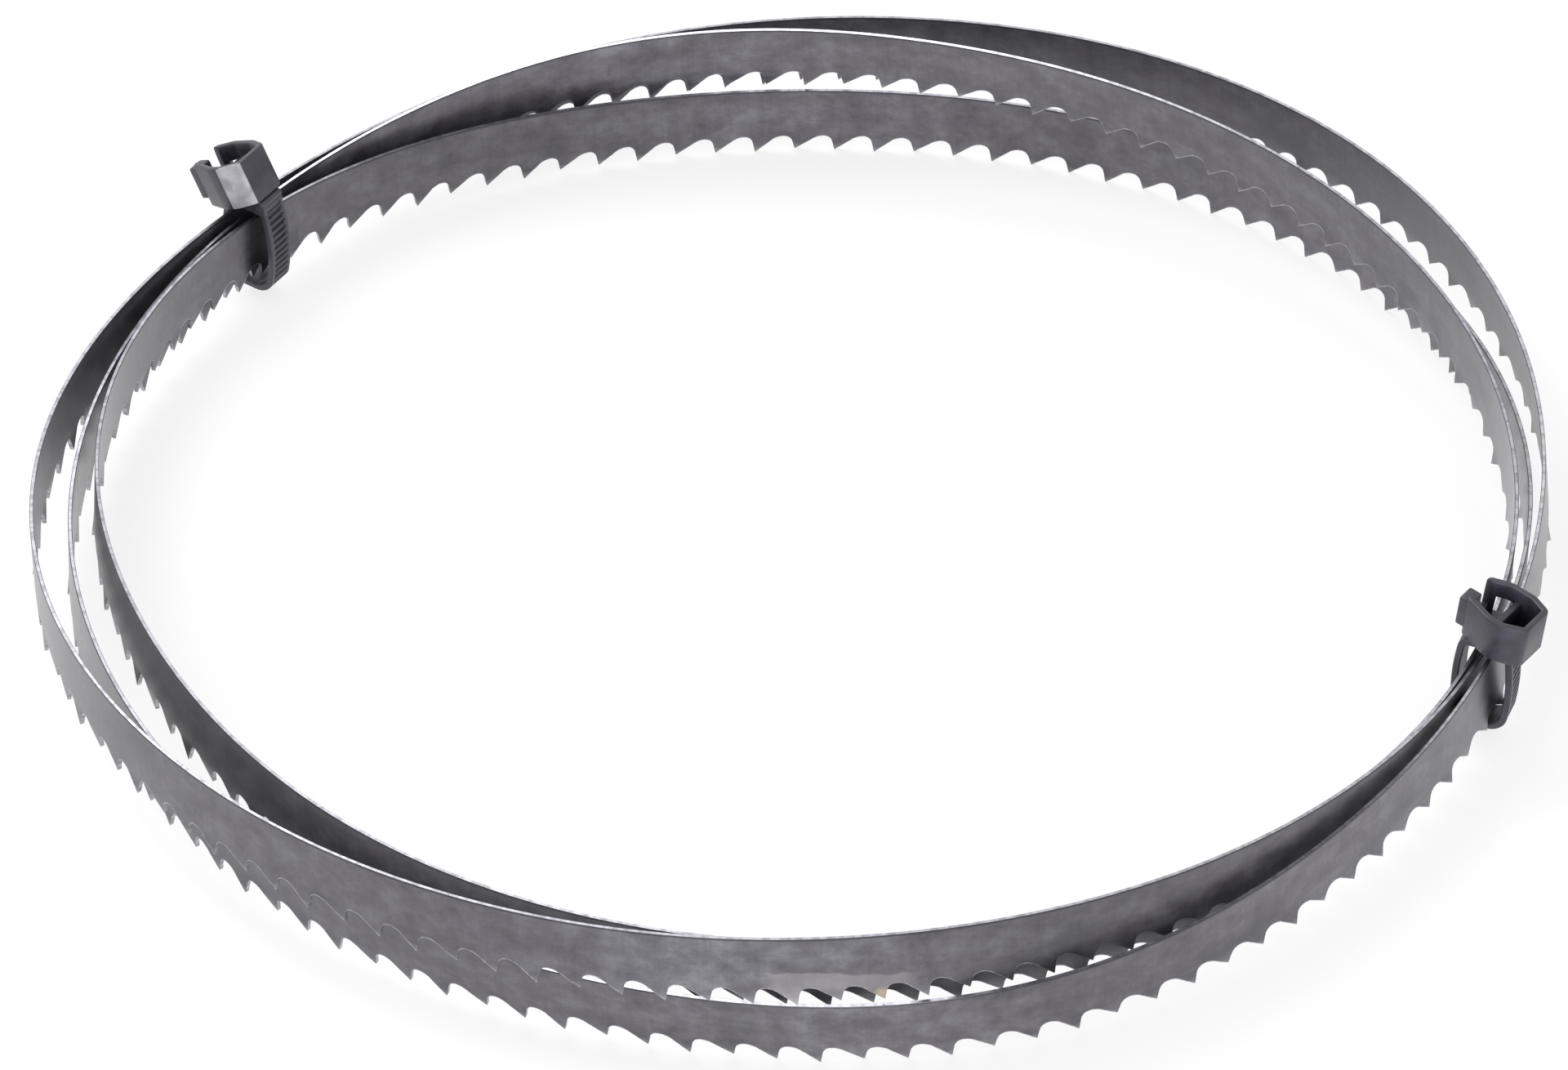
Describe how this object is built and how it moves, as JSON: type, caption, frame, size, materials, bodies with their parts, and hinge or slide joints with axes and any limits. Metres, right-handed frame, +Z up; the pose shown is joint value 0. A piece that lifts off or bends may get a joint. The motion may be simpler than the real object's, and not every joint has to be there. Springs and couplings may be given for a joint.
{
  "type": "band saw blade",
  "caption": "Toothed steel band for a band saw, welded to a loop, coiled in three laps for storage and held by two nylon cable ties.",
  "frame": {"origin": "middle of the coil's bounding box, on the surface that the coil stands on, teeth down", "axes": "+Z up, out of the plane of the coil, from the teeth to the back edge; +X towards the right-hand tie's side of the picture, +Y away from the viewer"},
  "size_m": [0.2346, 0.2302, 0.0287],
  "materials": {
    "steel": "rolled carbon steel, lightly oiled",
    "nylon": "moulded nylon, semi-matte"
  },
  "bodies": {
    "root": {"saw_blade": "steel", "cable_tie_left": "nylon", "cable_tie_right": "nylon"}
  },
  "joints": []
}
